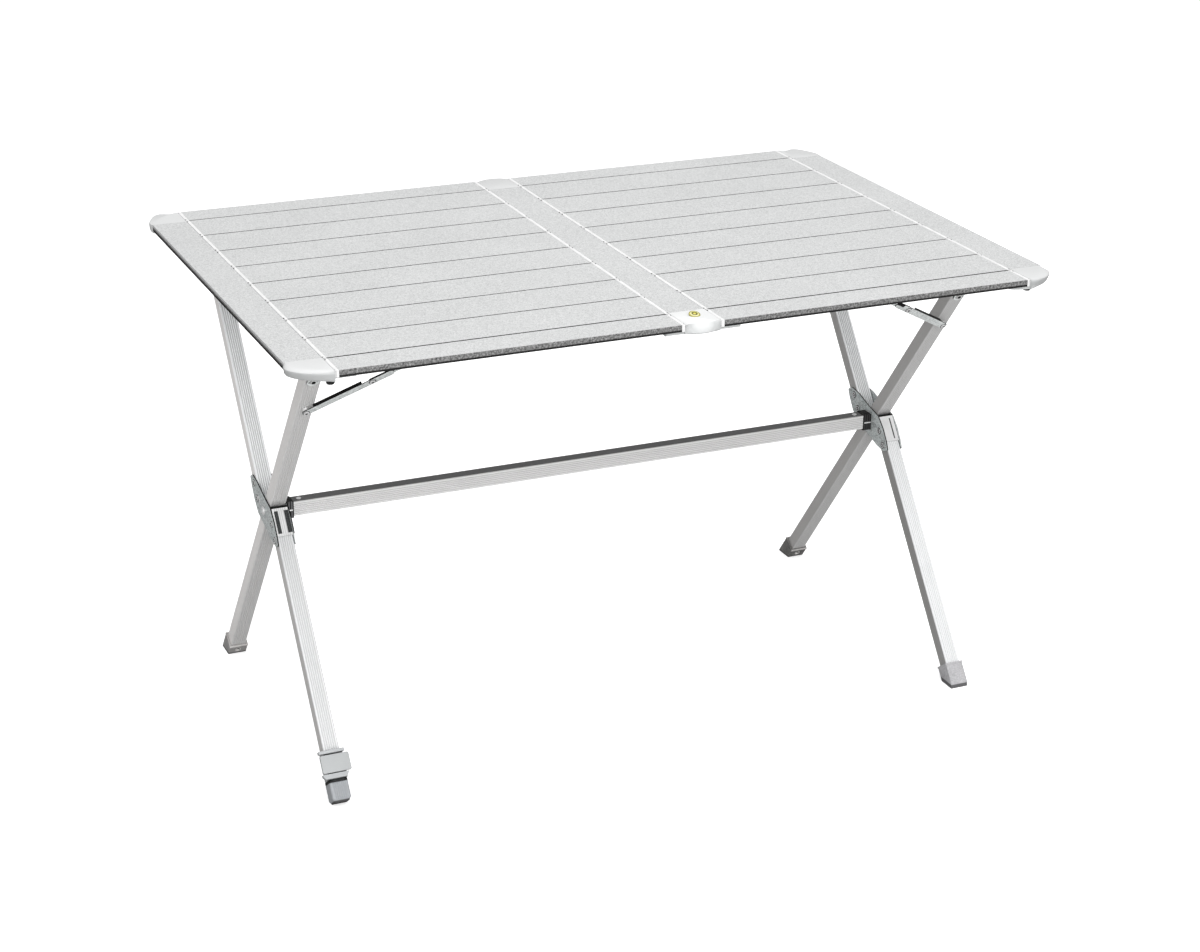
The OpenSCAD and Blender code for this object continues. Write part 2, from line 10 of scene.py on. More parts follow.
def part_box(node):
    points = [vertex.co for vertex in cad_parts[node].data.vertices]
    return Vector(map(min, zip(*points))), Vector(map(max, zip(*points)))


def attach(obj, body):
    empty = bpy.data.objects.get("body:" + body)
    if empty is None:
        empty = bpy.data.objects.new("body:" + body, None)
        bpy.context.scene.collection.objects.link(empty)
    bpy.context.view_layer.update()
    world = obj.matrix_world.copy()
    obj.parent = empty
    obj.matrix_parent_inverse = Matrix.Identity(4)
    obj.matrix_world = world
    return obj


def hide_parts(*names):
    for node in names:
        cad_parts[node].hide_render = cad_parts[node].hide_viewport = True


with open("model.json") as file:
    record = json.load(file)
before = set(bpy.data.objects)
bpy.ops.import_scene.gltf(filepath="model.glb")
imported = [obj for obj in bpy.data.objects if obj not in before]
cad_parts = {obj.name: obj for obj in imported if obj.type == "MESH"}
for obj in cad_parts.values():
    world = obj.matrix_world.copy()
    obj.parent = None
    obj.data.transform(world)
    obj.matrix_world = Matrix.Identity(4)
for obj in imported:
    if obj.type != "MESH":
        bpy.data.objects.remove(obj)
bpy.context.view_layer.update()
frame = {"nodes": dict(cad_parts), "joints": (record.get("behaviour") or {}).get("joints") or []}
NODES = frame["nodes"]


# ---------------------------------------------------------------- sizes, from the frame
def reach(node, axis):
    """The highest coordinate of a node along an axis, to a tenth of a millimetre."""
    return round(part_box(node)[1]["xyz".index(axis)], 4)


JOINTS = {joint["name"]: joint for joint in frame["joints"]}
MM = 0.001
TOP = reach("mid_bar", "z")
HALF_L = reach("right_end_bar", "x")
HALF_D = reach("left_slat_10", "y")
BAR_END = reach("mid_bar", "y")
CAP_IN = HALF_L - 0.0536                 # inner side of the corner caps
SLAT_IN = -reach("left_slat_01", "x")
SLAT_OUT = reach("right_slat_01", "x")
PLUG = 0.00495                           # length of an end plug of a slat
LAST_SEAM = JOINTS["left_roll_9"]["pos_m"][1]
SEAM_PITCH = LAST_SEAM - JOINTS["left_roll_8"]["pos_m"][1]
CROSS = Vector(JOINTS["rear_frame_fold"]["pos_m"])
LEAN = math.radians(37.3)                # lean of the legs
LEG_X = reach("long_leg_right", "x") - 0.012   # middle of a leg, half its width in from its side
FLUTE = 0.019 / 6                        # six flutes on the flat of a tube face
LEVEL = Vector((0.0025, -0.366))         # middle of the bullseye level
LEVEL_R = 0.0083

# places of the rivets: across and along in the rear frame, or |x| and along in the front frame
PLATE_RIVETS = [(0.022, 0.026), (0.0215, 0.050), (-0.026, -0.029), (-0.0245, -0.053)]
STAY_RIVETS = [(LEG_X, 0.288), (0.427, 0.347), (0.369, 0.386)]
HANGER_RIVET = (LEG_X, 0.3583)           # the same in both frames

scene = bpy.context.scene

# ---------------------------------------------------------------- camera
CAMERA_AT = (-1.43658, -3.28663, 1.77520)
YAW = math.radians(23.963895)            # to the right of straight ahead
DOWN = math.radians(22.060845)
ROLL = math.radians(0.701938)

cam_data = bpy.data.cameras.new("camera")
cam_data.sensor_width = 36.0
cam_data.lens = 73.70
cam_data.clip_end = 200
camera = bpy.data.objects.new("camera", cam_data)
scene.collection.objects.link(camera)
camera.matrix_world = (Matrix.Translation(CAMERA_AT)
                       @ Matrix.Rotation(-YAW, 4, "Z")
                       @ Matrix.Rotation(math.pi / 2 - DOWN, 4, "X")
                       @ Matrix.Rotation(ROLL, 4, "Z"))
scene.camera = camera


# ---------------------------------------------------------------- material nodes
class Tree:
    """A short way to write node trees. Masks are numbers from 0 to 1."""

    def __init__(self, name):
        self.mat = bpy.data.materials.new(name)
        self.mat.use_nodes = True
        self.nt = self.mat.node_tree
        self.bsdf = self.nt.nodes["Principled BSDF"]
        tex = self.nt.nodes.new("ShaderNodeTexCoord")
        self.coord = tex.outputs["Object"]
        self.facing = tex.outputs["Normal"]

    def link(self, a, b):
        self.nt.links.new(a, b)

    def put(self, socket, value):
        if isinstance(value, bpy.types.NodeSocket):
            self.link(value, socket)
        else:
            socket.default_value = value

    def noise(self, scale, detail=2.0, vector=None, rough=0.5):
        n = self.nt.nodes.new("ShaderNodeTexNoise")
        n.inputs["Scale"].default_value = scale
        n.inputs["Detail"].default_value = detail
        n.inputs["Roughness"].default_value = rough
        self.link(vector or self.coord, n.inputs["Vector"])
        return n.outputs["Fac"]

    def voronoi(self, scale, out="Color"):
        n = self.nt.nodes.new("ShaderNodeTexVoronoi")
        n.inputs["Scale"].default_value = scale
        self.link(self.coord, n.inputs["Vector"])
        return n.outputs[out]

    # numbers
    def math(self, op, a, b=0.0, clamp=False):
        n = self.nt.nodes.new("ShaderNodeMath")
        n.operation = op
        n.use_clamp = clamp
        self.put(n.inputs[0], a)
        self.put(n.inputs[1], b)
        return n.outputs[0]

    def total(self, first, *others):
        for other in others:
            first = self.math("ADD", first, other)
        return first

    def product(self, first, *others):
        for other in others:
            first = self.math("MULTIPLY", first, other)
        return first

    def minus(self, a, b):
        return self.math("SUBTRACT", a, b)

    def size(self, value):
        return self.math("ABSOLUTE", value)

    def square(self, value):
        return self.math("POWER", self.size(value), 2.0)

    # masks
    def invert(self, mask):
        return self.minus(1.0, mask)

    def either(self, a, b):
        return self.math("MAXIMUM", a, b)

    def above(self, value, edge, width=0.00004):
        """1 where value is above edge, with a narrow soft step."""
        return self.math("MULTIPLY", self.minus(value, edge - width / 2), 1 / width, clamp=True)

    def below(self, value, edge, width=0.00004):
        return self.invert(self.above(value, edge, width))

    def between(self, value, low, high, soft=0.0003):
        return self.product(self.above(value, low, soft), self.below(value, high, soft))

    def rings(self, a, b, points, r_in, r_out):
        """1 between two radii around points given in the plane of a and b."""
        mask = 0.0
        for p, q in points:
            r2 = self.total(self.square(self.minus(a, p)), self.square(self.minus(b, q)))
            mask = self.either(self.between(self.math("POWER", r2, 0.5), r_in, r_out), mask)
        return mask

    # places
    def xyz(self, source=None):
        n = self.nt.nodes.new("ShaderNodeSeparateXYZ")
        self.link(source or self.coord, n.inputs[0])
        return n.outputs

    def join(self, x, y, z):
        n = self.nt.nodes.new("ShaderNodeCombineXYZ")
        for socket, value in zip(n.inputs, (x, y, z)):
            self.put(socket, value)
        return n.outputs[0]

    def leg_yz(self, turn):
        """Distance across and along a leg: turn is -1 in the frame of the long legs and 1 in the other."""
        y, z = self.xyz()[1:]
        dy, dz = self.minus(y, CROSS.y), self.minus(z, CROSS.z)
        c, s = math.cos(LEAN), math.sin(LEAN) * turn
        across = self.minus(self.product(dy, c), self.product(dz, s))
        along = self.total(self.product(dy, s), self.product(dz, c))
        return across, along

    def off_leg(self):
        """Distance from the middle of a leg outwards along X."""
        return self.minus(self.size(self.xyz()[0]), LEG_X)

    def right_side(self):
        return self.above(self.xyz()[0], 0.0)

    # colours
    def ramp(self, fac, stops):
        n = self.nt.nodes.new("ShaderNodeValToRGB")
        while len(n.color_ramp.elements) < len(stops):
            n.color_ramp.elements.new(0.5)
        for element, (place, color) in zip(n.color_ramp.elements, stops):
            element.position = place
            element.color = (*color, 1)
        self.link(fac, n.inputs[0])
        return n.outputs[0]

    def tones(self, fac, base, stops, tint=(1.0, 1.0, 1.0)):
        """A ramp of one colour; stops are pairs of place and share of base."""
        return self.ramp(fac, [(place, gray(base * share, tint)) for place, share in stops])

    def mix(self, fac, a, b):
        n = self.nt.nodes.new("ShaderNodeMix")
        n.data_type = "RGBA"
        self.put(n.inputs[0], fac)
        for socket, color in ((n.inputs[6], a), (n.inputs[7], b)):
            self.put(socket, (*color, 1) if isinstance(color, tuple) else color)
        return n.outputs[2]

    def times(self, a, b):
        """Product of two colours."""
        n = self.nt.nodes.new("ShaderNodeMix")
        n.data_type = "RGBA"
        n.blend_type = "MULTIPLY"
        n.inputs[0].default_value = 1.0
        self.link(a, n.inputs[6])
        self.link(b, n.inputs[7])
        return n.outputs[2]

    def scaled(self, color, factor):
        n = self.nt.nodes.new("ShaderNodeVectorMath")
        n.operation = "SCALE"
        self.link(color, n.inputs[0])
        self.link(factor, n.inputs["Scale"])
        return n.outputs[0]

    def paint_shade_in_gaps(self, color, distance, dark, start, end):
        """Paints shade into a colour in the gaps and corners narrower than distance, from ambient occlusion.
        """
        n = self.nt.nodes.new("ShaderNodeAmbientOcclusion")
        n.samples = 6
        n.inputs["Distance"].default_value = distance
        return self.times(color, self.ramp(n.outputs["AO"], [(start, gray(dark)), (end, gray(1.0))]))

    # surface
    def bump(self, height, strength, distance, soft_edges=0.0):
        """Relief; with soft_edges, edges also look rounded by that radius."""
        n = self.nt.nodes.new("ShaderNodeBump")
        n.inputs["Strength"].default_value = strength
        n.inputs["Distance"].default_value = distance
        self.link(height, n.inputs["Height"])
        if soft_edges:
            bevel = self.nt.nodes.new("ShaderNodeBevel")
            bevel.samples = 4
            bevel.inputs["Radius"].default_value = soft_edges
            self.link(bevel.outputs[0], n.inputs["Normal"])
        self.link(n.outputs[0], self.bsdf.inputs["Normal"])

    def finish(self, color, rough, metal=0.0, matt=True):
        """Sets the surface; with matt, dark places also shine less, as gaps and shadow lines do."""
        self.link(color, self.bsdf.inputs["Base Color"])
        self.put(self.bsdf.inputs["Roughness"], rough)
        self.put(self.bsdf.inputs["Metallic"], metal)
        if matt:
            bw = self.nt.nodes.new("ShaderNodeRGBToBW")
            self.link(color, bw.inputs[0])
            shine = self.math("MINIMUM", self.product(bw.outputs[0], 1.6), 0.5)
            self.link(shine, self.bsdf.inputs["Specular IOR Level"])
        return self.mat


def gray(v, tint=(1.0, 1.0, 1.0)):
    return tuple(v * t for t in tint)


# ---------------------------------------------------------------- the top
def near_seam(t, y, offset, half):
    """1 close to the two points at offset on either side of each seam of the slats."""
    turn = t.math("FRACT", t.product(t.total(y, LAST_SEAM + SEAM_PITCH / 2), 1 / SEAM_PITCH))
    dist = t.product(t.size(t.minus(turn, 0.5)), SEAM_PITCH)
    return t.below(t.size(t.minus(dist, offset)), half, 0.0004)


def slat_details(t, color, edge, plug):
    """Adds painted shade in the seams of a slat, and its white end plugs; edge and plug are masks."""
    x, y, z = t.xyz()
    ax, ay = t.size(x), t.size(y)
    # white plugs, with painted shade in small notches on the side of the bar
    white = t.tones(t.noise(60, 2.0), 1.0, [(0.3, 0.71), (0.7, 0.79)])
    rim = t.either(t.above(ax, SLAT_OUT - 0.00165), t.below(ax, SLAT_IN + 0.00165))
    plug_color = t.mix(t.product(rim, near_seam(t, y, 0.0057, 0.0017)), white, gray(0.012))
    # the walls and bevels of the seams are painted near black as shade
    wall = t.product(t.below(z, TOP - 0.00010, 0.00006), t.above(z, TOP - 0.0095, 0.0004),
                     t.below(ay, HALF_D - 0.001))
    color = t.mix(wall, color, gray(0.008))
    # painted shade on the walls of the plugs in the seams
    plug_wall = t.product(wall, t.below(z, TOP - 0.0006, 0.0002))
    color = t.mix(plug, color, t.mix(plug_wall, plug_color, gray(0.10)))
    # painted shade in the hairline gaps on either side of the plug, seen on the outer edge
    gap = t.either(t.between(ax, SLAT_OUT - 0.00535, SLAT_OUT - 0.00485, 0.0001),
                   t.between(ax, SLAT_OUT - 0.00125, SLAT_OUT - 0.0008, 0.0001))
    return t.mix(t.product(gap, edge, 0.8), color, gray(0.03))


def anodised_top(name, kind):
    """Satin anodised aluminium with a fine grain and a darker outer edge, painted black along its bottom as
    shade; kind is slat or bar.
    """
    t = Tree(name)
    x, y, z = t.xyz()
    ax, ay = t.size(x), t.size(y)
    fine = t.noise(900, 1.0)
    speck = t.xyz(t.voronoi(640))[0]
    v = t.total(t.product(fine, 0.55), t.product(speck, 0.34), t.product(t.noise(7, 2.0), 0.10))
    color = t.ramp(v, [(0.22, gray(0.385)), (0.46, gray(0.545, (0.985, 1.0, 1.0))), (0.78, gray(0.705))])
    # the outer edge: darker, with coarser specks, and a black line along the bottom that is painted shade
    edge_color = t.tones(t.noise(330, 3.0, rough=0.7), 1.0, [(0.34, 0.06), (0.50, 0.175), (0.66, 0.38)])
    if kind == "slat":
        edge = t.above(ay, HALF_D - 0.0007)
        low = t.below(z, TOP - 0.0068, 0.001)
    else:
        edge = t.product(t.above(ax, HALF_L - 0.0006), t.below(z, TOP - 0.0034, 0.0006))
        low = t.below(z, TOP - 0.0060, 0.001)
    color = t.mix(edge, color, t.mix(low, edge_color, gray(0.02)))
    rough = t.total(0.58, t.product(fine, 0.16))
    grain = t.total(fine, speck)
    if kind == "bar":
        t.bump(grain, 0.22, 0.00012, 0.0006)
        return t.finish(color, rough, 0.20)
    plug = t.either(t.above(ax, SLAT_OUT - PLUG), t.below(ax, SLAT_IN + PLUG))
    t.bump(grain, 0.22, 0.00012)
    return t.finish(slat_details(t, color, edge, plug), t.product(rough, t.invert(t.product(plug, 0.2))),
                    t.product(t.invert(plug), 0.20))


# ---------------------------------------------------------------- tubes
def grooves(t, across, pitch, count):
    """1 in the shallow flutes of a face, an even number; across is the distance from its middle."""
    turn = t.math("FRACT", t.total(t.product(across, 1 / pitch), 100.0))
    inside = t.below(t.size(across), count * pitch / 2, 0.0003)
    return t.product(t.below(t.size(t.minus(turn, 0.5)), 0.20, 0.12), inside)


def drawn(t, turn):
    """The streaks and the flutes of a drawn tube; turn is that of leg_yz, or None for a tube along X."""
    x, y, z = t.xyz()
    if turn is None:
        place = t.join(t.product(x, 3.0), t.product(y, 900.0), t.product(z, 900.0))
        flutes = grooves(t, t.minus(z, CROSS.z), 0.003, 6)
    else:
        across, along = t.leg_yz(turn)
        place = t.join(t.product(x, 900.0), t.product(across, 900.0), t.product(along, 3.0))
        flutes = grooves(t, t.off_leg(), FLUTE, 6)
    return t.noise(1.0, 3.0, place), flutes


def tube_metal(name, turn, base, tint=(1.0, 0.995, 0.99), painted_side_tones=None, painted_top_shade=None,
               metal=0.45, flute=0.4, painted_right_light=1.0):
    """Anodised tube, drawn lengthways, with fluted faces; turn is that of drawn.

    base is the tone of the front; the side tones are painted light and shade on the plain side faces of the
    left and of the right leg, and the top tone is painted shade on a face that looks up. flute says how dark
    the painted shade in the flutes is, and the last argument how much lighter or darker the front of the
    right leg is painted than that of the left one, as painted light and shade.
    """
    t = Tree(name)
    streak, flutes = drawn(t, turn)
    fine, cloud = t.noise(700, 1.0), t.noise(14, 3.0)
    v = t.total(t.product(streak, 0.5), t.product(fine, 0.25), t.product(cloud, 0.25))
    color = t.tones(v, base, [(0.30, 0.90), (0.52, 1.0), (0.75, min(1.08, 1 / base))], tint)
    # painted light and shade: the front of the right leg is made lighter or darker than that of the left one
    if painted_right_light != 1.0:
        color = t.scaled(color, t.total(1.0, t.product(t.right_side(), painted_right_light - 1.0)))
        # the painted shade of the flutes is weaker on the right leg, where they hardly show
        flutes = t.product(flutes, t.invert(t.product(t.right_side(), 0.7)))
    # painted shade in the flutes
    color = t.mix(t.product(flutes, flute), color, gray(base * 0.42, tint))
    # painted light and shade on the plain side faces, by which way they face and by leg
    if painted_side_tones:
        left, right = (t.tones(v, side, [(0.30, 0.92), (0.75, 1.06)], (1.0, 0.98, 0.965)) for side in painted_side_tones)
        flat = t.above(t.size(t.xyz(t.facing)[0]), 0.75, 0.2)
        color = t.mix(flat, color, t.mix(t.right_side(), left, right))
    # painted shade on a face that looks up, such as the top of the crossbar under the table top
    if painted_top_shade:
        color = t.mix(t.above(t.xyz(t.facing)[2], 0.75, 0.2), color, gray(painted_top_shade, tint))
    t.bump(v, 0.10, 0.0002, 0.0004)
    return t.finish(color, t.total(0.34, t.product(streak, 0.20)), metal)


# ---------------------------------------------------------------- plastics
def plastic(name, base, tint=(1.0, 1.0, 1.0), rough=0.45, grain=0.25, wear=0.06):
    """Moulded plastic with a fine spark-eroded grain and slight unevenness."""
    t = Tree(name)
    cloud = t.noise(22, 3.0)
    fine = t.noise(1300, 1.0)
    v = t.total(t.product(cloud, 0.6), t.product(fine, 0.4))
    color = t.tones(v, base, [(0.30, 1 - wear), (0.70, 1 + wear)], tint)
    t.bump(fine, grain, 0.0001, 0.0006)
    return t.finish(color, t.total(rough - 0.06, t.product(cloud, 0.12)))


def cap_plastic(name, top, wall):
    """White cap plastic with one tone on the top and a greyer one on the walls, as painted shade."""
    t = Tree(name)
    cloud = t.noise(22, 3.0)
    # painted shade: the walls are greyer than the top
    up = t.above(t.xyz(t.facing)[2], 0.72, 0.35)
    color = t.mix(up, t.tones(cloud, wall, [(0.3, 0.97), (0.7, 1.03)], (0.98, 1.0, 1.0)),
                  t.tones(cloud, top, [(0.3, 0.98), (0.7, 1.02)], (0.99, 1.0, 1.0)))
    t.bump(t.noise(1300, 1.0), 0.12, 0.0001)
    return t.finish(color, 0.42)


def sleeve_plastic():
    """Sleeve of the adjustable foot, with painted shade in the gap beside its lever."""
    t = Tree("sleeve_plastic")
    color = t.tones(t.noise(30, 3.0), 0.44, [(0.3, 0.95), (0.7, 1.05)], (0.97, 1.0, 1.02))
    # painted shade in the gap beside the lever
    color = t.mix(t.between(t.leg_yz(1)[0], -0.0372, -0.0358), color, gray(0.10))
    t.bump(t.noise(1300, 1.0), 0.25, 0.0001, 0.0004)
    return t.finish(color, 0.5)


def plunger_plastic(base=0.38, tint=(0.96, 1.0, 1.05)):
    """Sliding foot: finely ribbed, with painted shade in the rib grooves, a painted shadow as a dark line
    under the sleeve, and a dark sole.
    """
    t = Tree("plunger_plastic")
    along = t.leg_yz(1)[1]
    color = t.tones(t.noise(30, 3.0), base, [(0.3, 0.95), (0.7, 1.05)], tint)
    # painted shadow: a dark line under the sleeve
    color = t.mix(t.between(along, -0.4222, -0.4168, 0.0012), color, gray(0.02))
    # painted shade in the rib grooves
    ribs = grooves(t, t.off_leg(), 0.0015, 12)
    color = t.mix(t.product(ribs, 0.22), color, gray(base * 0.5, tint))
    color = t.mix(t.below(along, -0.4482, 0.0012), color, gray(0.08))
    t.bump(t.noise(1300, 1.0), 0.25, 0.0001, 0.0012)
    return t.finish(color, 0.5)


def cover_plastic():
    """White joint cover: ribbed at the left, with painted shade in the rib grooves and in dark recesses, and
    a painted shadow as a dark line along its upper edge.
    """
    t = Tree("cover_plastic")
    along = t.leg_yz(1)[1]
    u = t.off_leg()
    color = t.tones(t.noise(60, 2.0), 1.0, [(0.3, 0.64), (0.7, 0.72)])
    # painted shade in the rib grooves of the left cover
    ribs = t.product(grooves(t, u, FLUTE, 6), t.below(t.xyz()[0], 0.0))
    color = t.mix(t.product(ribs, 0.50), color, gray(0.36))
    # two recesses in the left cover and a narrow one in the right cover, painted near black as shade
    left = t.either(t.between(u, 0.0036, 0.0096), t.between(u, -0.0120, -0.0055))
    recess = t.mix(t.right_side(), left, t.between(u, 0.0040, 0.0061))
    recess = t.product(recess, t.between(along, -0.0472, -0.0125))
    spots = t.ramp(t.voronoi(700, "Distance"), [(0.10, gray(0.008)), (0.55, gray(0.06, (0.95, 1.0, 1.02)))])
    color = t.mix(recess, color, spots)
    # painted shadow: a dark line along the upper edge
    color = t.mix(t.above(along, -0.0084, 0.0002), color, gray(0.01))
    t.bump(t.noise(1300, 1.0), 0.12, 0.0001)
    return t.finish(color, 0.40)


def connector_plastic():
    """Crossbar end connector: dark grey in front with painted shade in the grooves between its ridges;
    painted shade makes it nearly black on top and darker at the right.
    """
    t = Tree("connector_plastic")
    cool = (1.0, 1.0, 1.03)
    # painted shade in the grooves between the ridges
    ridge = t.size(t.minus(t.math("FRACT", t.product(t.xyz()[0], 1 / 0.0042)), 0.5))
    front = t.ramp(ridge, [(0.12, gray(0.02)), (0.24, gray(0.11, cool)), (0.5, gray(0.15, cool))])
    # painted shade: the right connector is darker
    front = t.mix(t.product(t.right_side(), 0.75), front, gray(0.012))
    fine = t.noise(500, 2.0)
    # painted shade: the top is nearly black
    top = t.tones(fine, 1.0, [(0.4, 0.012), (0.7, 0.05)])
    t.bump(fine, 0.2, 0.0001)
    return t.finish(t.mix(t.above(t.xyz(t.facing)[2], 0.6, 0.3), front, top), 0.42)


def foot_plastic(name, base, tint, sole, details=None):
    """Mottled moulded foot with a darker sole; details adds marks to it."""
    t = Tree(name)
    mottle = t.noise(420, 3.0, rough=0.65)
    v = t.total(t.product(mottle, 0.7), t.product(t.noise(40, 2.0), 0.3))
    z = t.xyz()[2]
    color = t.tones(v, base, [(0.32, 0.72), (0.50, 1.0), (0.68, 1.25)], tint)
    color = t.mix(t.below(z, sole, 0.0012), color, gray(base * 0.30, tint))
    if details:
        # a darker tone for painted shade, used by details
        painted_shade_tone = t.tones(v, base, [(0.36, 0.18), (0.52, 0.52), (0.70, 0.80)], tint)
        color = details(t, color, painted_shade_tone, t.above(z, sole, 0.0012), base, tint)
    t.bump(mottle, 0.22, 0.0002)
    return t.finish(color, 0.50)


def rear_foot_details(t, color, painted_shade_tone, over_sole, base, tint):
    """Painted shade over the right foot, a drain hole with a painted highlight on its lip and painted shade
    inside, and a painted highlight as a light rim around a dark painted shade line at the top.
    """
    across, along = t.leg_yz(-1)
    # painted shade over the right foot, above its sole
    color = t.mix(t.product(t.right_side(), over_sole), color, painted_shade_tone)
    hole = t.total(t.square(t.product(t.off_leg(), 1 / 0.0046)),
                   t.square(t.product(t.minus(along, -0.4190), 1 / 0.0052)))
    front = t.below(across, -0.0105, 0.0004)
    # painted highlight on the lip of the drain hole
    color = t.mix(t.product(front, t.below(hole, 1.0, 0.2)), color, gray(base * 2.1, tint))
    # painted shade inside the drain hole
    color = t.mix(t.product(front, t.below(hole, 0.42, 0.15)), color, gray(0.02))
    # painted highlight: a light rim at the top
    rim = t.product(t.above(along, -0.4100, 0.0006), t.above(t.size(across), 0.0128, 0.0004))
    color = t.mix(t.product(rim, 0.8), color, gray(base * 1.5, tint))
    # painted shade: a dark line at the top
    return t.mix(t.between(along, -0.4112, -0.4098), color, gray(0.02))


# ---------------------------------------------------------------- zinc plated steel
PLATE_TINT = (0.93, 1.0, 0.995)


def plate_details(t, color):
    """Joint plates: flecks, painted contact shadows as dark rivet rims, a bright painted highlight on a slot
    on the outside, and their cut edges.
    """
    across, along = t.leg_yz(1)
    outside = t.above(t.size(t.xyz()[0]), LEG_X, 0.001)
    fleck = t.xyz(t.voronoi(640))[1]
    color = t.mix(t.product(t.above(fleck, 0.88, 0.05), 0.7), color, gray(0.85))
    color = t.mix(t.product(t.below(fleck, 0.14, 0.05), 0.6), color, gray(0.12, PLATE_TINT))
    # painted highlight: a bright slot on the outside, with a painted shade line along its lip
    slot = t.product(t.between(across, 0.0130, 0.0165), t.between(along, 0.013, 0.027))
    color = t.mix(t.product(slot, outside), color, gray(0.98))
    lip = t.product(t.between(across, 0.0165, 0.0180), t.between(along, 0.012, 0.028))
    color = t.mix(t.product(lip, outside), color, gray(0.02))
    # painted contact shadows: dark rims around the rivets
    color = t.mix(t.rings(across, along, PLATE_RIVETS, 0.0041, 0.0056), color, gray(0.02))
    # cut edges: painted black as shade, but light on the right outer plate as a painted highlight and light
    # at the lower end of the left inner one
    low_end = t.product(t.invert(outside), t.below(along, -0.050, 0.001))
    light = t.mix(t.invert(t.right_side()), outside, low_end)
    flat = t.above(t.size(t.xyz(t.facing)[0]), 0.90, 0.1)
    return t.mix(flat, t.mix(light, gray(0.012), gray(0.80)), color)


def front_details(t, color, rivets):
    """Painted contact shadows as black rims around rivets of the front frame; all but its wide front and
    back faces is painted nearly black as shade.
    """
    ny, nz = t.xyz(t.facing)[1:]
    forward = t.size(t.total(t.product(ny, -math.cos(LEAN)), t.product(nz, -math.sin(LEAN))))
    ax = t.size(t.xyz()[0])
    # painted contact shadows around the rivets
    color = t.mix(t.rings(ax, t.leg_yz(-1)[1], rivets, 0.0042, 0.0053), color, gray(0.03))
    # painted shade: all faces but the wide front and back ones nearly black
    return t.mix(t.above(forward, 0.80, 0.2), gray(0.015), color)


def stay_details(t, color):
    """Stays and links: also a near-black corner at the free end of the right stay."""
    color = front_details(t, color, STAY_RIVETS)
    du, dv = t.off_leg(), t.minus(t.leg_yz(-1)[1], STAY_RIVETS[0][1])
    lengthways = t.total(t.product(du, -0.824), t.product(dv, 0.567))
    sideways = t.total(t.product(du, 0.567), t.product(dv, 0.824))
    corner = t.product(t.above(lengthways, 0.121, 0.001), t.above(sideways, 0.0004, 0.001))
    return t.mix(t.product(corner, t.right_side()), color, gray(0.01))


def hanger_details(t, color):
    """Front hangers and tabs: also painted shade for a small slot beside the rivet."""
    color = front_details(t, color, [HANGER_RIVET])
    # painted shade: a small dark slot beside the rivet
    mark = t.product(t.between(t.off_leg(), 0.0058, 0.0068), t.between(t.leg_yz(-1)[1], 0.3560, 0.3600))
    return t.mix(mark, color, gray(0.02))


def zinc(name, base, rough=0.34, tint=(0.965, 1.0, 0.99), gap=0.0018, metal=0.35, details=None):
    """Zinc plated steel: small spangle, slightly cloudy, with painted shade in gaps; details adds marks to
    it.
    """
    t = Tree(name)
    cells = t.xyz(t.voronoi(330))[0]
    cloud = t.noise(60, 3.0)
    v = t.total(t.product(cells, 0.45), t.product(cloud, 0.55))
    color = t.tones(v, base, [(0.25, 0.80), (0.50, 1.0), (0.75, min(1.18, 1 / base))], tint)
    if details:
        color = details(t, color)
    # painted shade in the gaps and corners
    color = t.paint_shade_in_gaps(color, gap, 0.02, 0.20, 0.62)
    t.bump(cloud, 0.10, 0.0002, 0.0004)
    return t.finish(color, t.total(rough, t.product(cells, 0.12)), metal)


def rivet_zinc(name, turn):
    """Bright rivets: those of the hangers have painted shade in a dark socket, the others painted shade in a
    dimple, and all painted shade in narrow gaps; turn as in leg_yz.
    """
    t = Tree(name)
    across, along = t.leg_yz(turn)
    cells = t.xyz(t.voronoi(500))[0]
    color = t.tones(cells, 1.0, [(0.2, 0.74), (0.8, 0.92)])
    r2 = t.total(t.square(t.off_leg()), t.square(t.minus(along, HANGER_RIVET[1])))
    # painted shade in the socket of the hanger rivets
    color = t.mix(t.below(r2, 0.0030 ** 2, 0.000003), color, gray(0.012))
    # painted shade in the dimples
    if turn < 0:
        dimple = t.rings(t.size(t.xyz()[0]), along, STAY_RIVETS, -1.0, 0.0018)
    else:
        dimple = t.rings(across, along, PLATE_RIVETS, 0.0015, 0.0030)
    color = t.mix(dimple, color, gray(0.03))
    t.bump(cells, 0.1, 0.0001)
    # painted shade in narrow gaps
    return t.finish(t.paint_shade_in_gaps(color, 0.002, 0.05, 0.15, 0.55), 0.28, 0.4)


def level_glass():
    """Bullseye level: clear yellow-green liquid, dark ring, bright bubble."""
    t = Tree("level")
    x, y = t.xyz()[:2]
    r2 = t.total(t.square(t.minus(x, LEVEL.x)), t.square(t.minus(y, LEVEL.y)))
    rel = t.math("MULTIPLY", t.math("POWER", r2, 0.5), 1 / LEVEL_R, clamp=True)
    ring = (0.07, 0.065, 0.005)
    color = t.ramp(rel, [(0.0, (0.62, 0.56, 0.10)), (0.26, (0.50, 0.44, 0.04)), (0.34, ring), (0.48, ring),
                         (0.56, (0.60, 0.58, 0.22)), (0.76, (0.60, 0.58, 0.26)), (0.82, (0.26, 0.23, 0.02)),
                         (1.0, (0.34, 0.30, 0.03))])
    t.bump(rel, 0.2, 0.0003)
    t.bsdf.inputs["Coat Weight"].default_value = 0.3
    return t.finish(color, 0.12)


# ---------------------------------------------------------------- materials of the CAD nodes
SLAT = anodised_top("anodised_slat", "slat")
BAR = anodised_top("anodised_bar", "bar")
